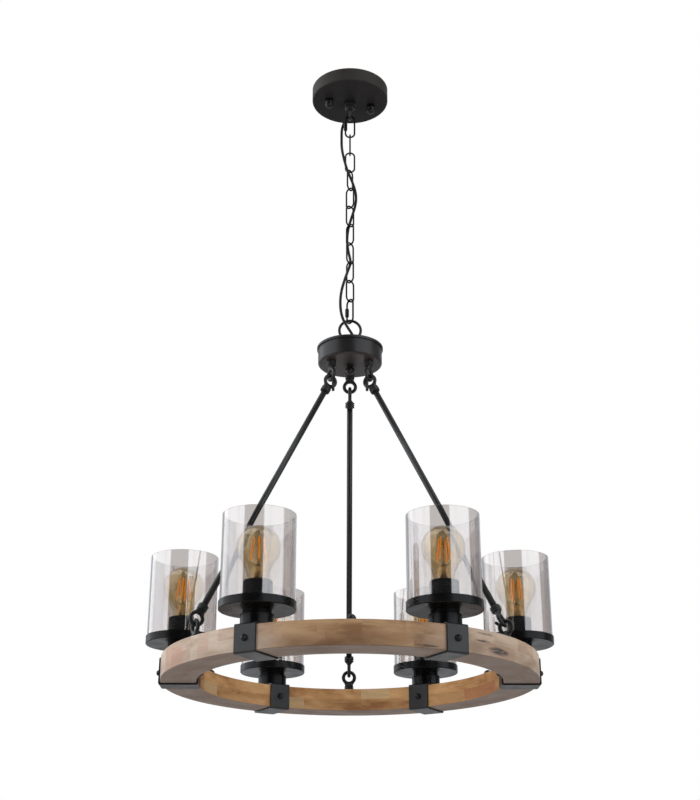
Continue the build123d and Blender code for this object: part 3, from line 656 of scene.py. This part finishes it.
# Each arm: its angle, whether its foot's eyes are turned by a right angle, and the side of its hooks' cut ends
arms = (("right", 60, True, -1, 1), ("far", 180, False, 0, 0), ("left", 300, False, 1, 0))
up = Vector((0, 0, 1))
for arm, angle, foot_turned, hub_hand, ring_hand in arms:
    a = math.radians(angle)
    tangent = Vector((math.cos(a), math.sin(a), 0))
    foot_side = -around(angle, 1.0) if foot_turned else tangent
    top_eye = around(angle, hub_hook_radius, hub_eyes)
    foot_eye = around(angle, lamp_radius, ring_eyes)
    hook(f"hub_hook_{arm}", "hub_hooks", top_eye, up, tangent, hub_tail, hub_hand)
    hook(f"ring_hook_{arm}", "ring_hooks", foot_eye, -up, foot_side, ring_tail, ring_hand)
    # The rod hangs between the middles of the two hooks' bars
    top = top_eye - up * eye_middle
    foot = foot_eye + up * eye_middle
    pull = (foot - top).normalized()
    if foot_turned:
        foot = foot_eye - pull * eye_middle
        pull = (foot - top).normalized()
    inset = eye_middle - 2 * eye_bar - eye_gap
    first, last = top + pull * inset, foot - pull * inset
    upright = pull.cross(tangent).normalized()
    flat = (tangent - pull * tangent.dot(pull)).normalized()
    shells = eye_shells(first, pull, upright) + eye_shells(last, -pull, flat if foot_turned else upright)
    reach = pull * (eye_collar + collar_height - 0.001)      # 1 mm inside the collar
    shells.append((tube_rings([first + reach, first * 0.5 + last * 0.5, last - reach], rod_radius, 24), False))
    stand_in(build(f"rod_{arm}_form", shells, coat), f"rod_{arm}", f"rod_{arm}")

# The canopy's long ball nuts: a sleeve, a groove and a ball
nut_profile = [(0.0, 0.0), (0.0060, 0.0), (0.0069, -0.0006), (0.0069, -0.0084), (0.0061, -0.0091), (0.0062, -0.0095)]
nut_profile += [(0.0070 * math.cos(math.radians(12 * k)), -0.0101 - 0.0064 * math.sin(math.radians(12 * k)))
                for k in range(8)]
nut_profile += [(0.0, -0.0165)]
canopy_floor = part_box("canopy_cap_nuts")[1].z
for name, side in (("left", -1), ("right", 1)):
    place = Vector((side * stud_radius * math.cos(stud_turn), side * stud_radius * math.sin(stud_turn), canopy_floor))
    stand_in(lathe(f"canopy_ball_nut_{name}", nut_profile, place, coat_bolt, 32), "canopy_cap_nuts", "canopy")

# Smooth shading on the CAD pieces that stay, with their sharp edges kept
for node in nodes.values():
    if node.hide_render:
        continue
    for polygon in node.data.polygons:
        polygon.use_smooth = True
    bpy.context.view_layer.objects.active = node
    node.select_set(True)
    node.data.set_sharp_from_angle(angle=sharp_angle)
    node.select_set(False)

# Lights: two tall soft panels to the left and right, and a weak one above
light_target = Vector((0, 0, -0.8))


def panel(name, azimuth, elevation, distance, size, power):
    data = bpy.data.lights.new(name, "AREA")
    data.shape = "RECTANGLE"
    data.size, data.size_y = size
    data.energy = power
    lamp = new_object(name, data)
    rise = math.radians(elevation)
    lamp.location = light_target + around(azimuth, distance * math.cos(rise), distance * math.sin(rise))
    lamp.rotation_euler = (light_target - lamp.location).to_track_quat("-Z", "Y").to_euler()
    lamp.visible_glossy = False
    lamp.visible_transmission = False
    lamp.visible_camera = False


panel("left_panel", -62, 12, 2.6, (1.6, 2.2), 42)
panel("right_panel", 58, 8, 2.6, (1.6, 2.2), 30)
panel("top_panel", 0, 62, 2.4, (2.0, 1.6), 12)

# World: white to the eye and through glass, a soft fill for matt surfaces, and for reflections
# two tall soft boxes, given as brightness by azimuth in degrees
box_brightness = 2.4
box_tint = (0.9, 0.94, 1.0)
fill_tint = (0.93, 0.95, 1.0, 1)
fill_strength = 0.42
boxes = ((-180, 0.8), (-140, 0.6), (-132, 2.3), (-112, 2.4), (-105, 1.8), (-97, 2.3), (-70, 2.4), (-64, 2.0),
         (-58, 2.4), (-46, 2.4), (-42, 0.04), (16, 0.03), (19, 2.4), (32, 2.4), (37, 2.05), (43, 2.4), (82, 2.3),
         (88, 0.2), (132, 0.3), (152, 0.7), (180, 0.8))
world = bpy.data.worlds.new("studio")
scene.world = world
world.use_nodes = True
g = Graph(world.node_tree)
g.tree.nodes.clear()


def background(colour, strength):
    made = g.node("ShaderNodeBackground")
    g.link(colour, made.inputs[0])
    made.inputs[1].default_value = strength
    return made.outputs[0]


def switch(factor, otherwise, then):
    made = g.node("ShaderNodeMixShader")
    for slot, item in zip(made.inputs, (factor, otherwise, then)):
        g.link(item, slot)
    return made.outputs[0]


path = g.node("ShaderNodeLightPath")
east, north, _ = g.parts(g.node("ShaderNodeTexCoord").outputs["Generated"])
azimuth = g.math("ARCTAN2", east, g.times(north, -1))
stops = [(angle / 360 + 0.5, [value / box_brightness * t for t in box_tint]) for angle, value in boxes]
reflected = g.ramp(g.plus(g.over(azimuth, 2 * math.pi), 0.5), *stops)
mirrored = g.math("GREATER_THAN", path.outputs["Glossy Depth"], 0.5)
bounced = g.math("GREATER_THAN", path.outputs["Diffuse Depth"], 0.5)
seen = switch(mirrored, background((1, 1, 1, 1), 1.0), background(reflected, box_brightness))
lit = switch(bounced, seen, background(fill_tint, fill_strength))
g.link(lit, g.node("ShaderNodeOutputWorld").inputs[0])

# A pale floor, far below the light
floor_half = 6
floor_z = -2.3
floor_mesh = bpy.data.meshes.new("floor")
corners = [(x * floor_half, y * floor_half, floor_z) for x, y in ((-1, -1), (1, -1), (1, 1), (-1, 1))]
floor_mesh.from_pydata(corners, [], [(0, 1, 2, 3)])
floor = new_object("floor", floor_mesh)
paint = MaterialGraph("floor_paint")
paint.set(Base_Color=paint.mix(paint.noise(paint.point, 3, 3), (0.80, 0.77, 0.74, 1), (0.84, 0.81, 0.78, 1)),
          Roughness=0.8)
floor_mesh.materials.append(paint.material)
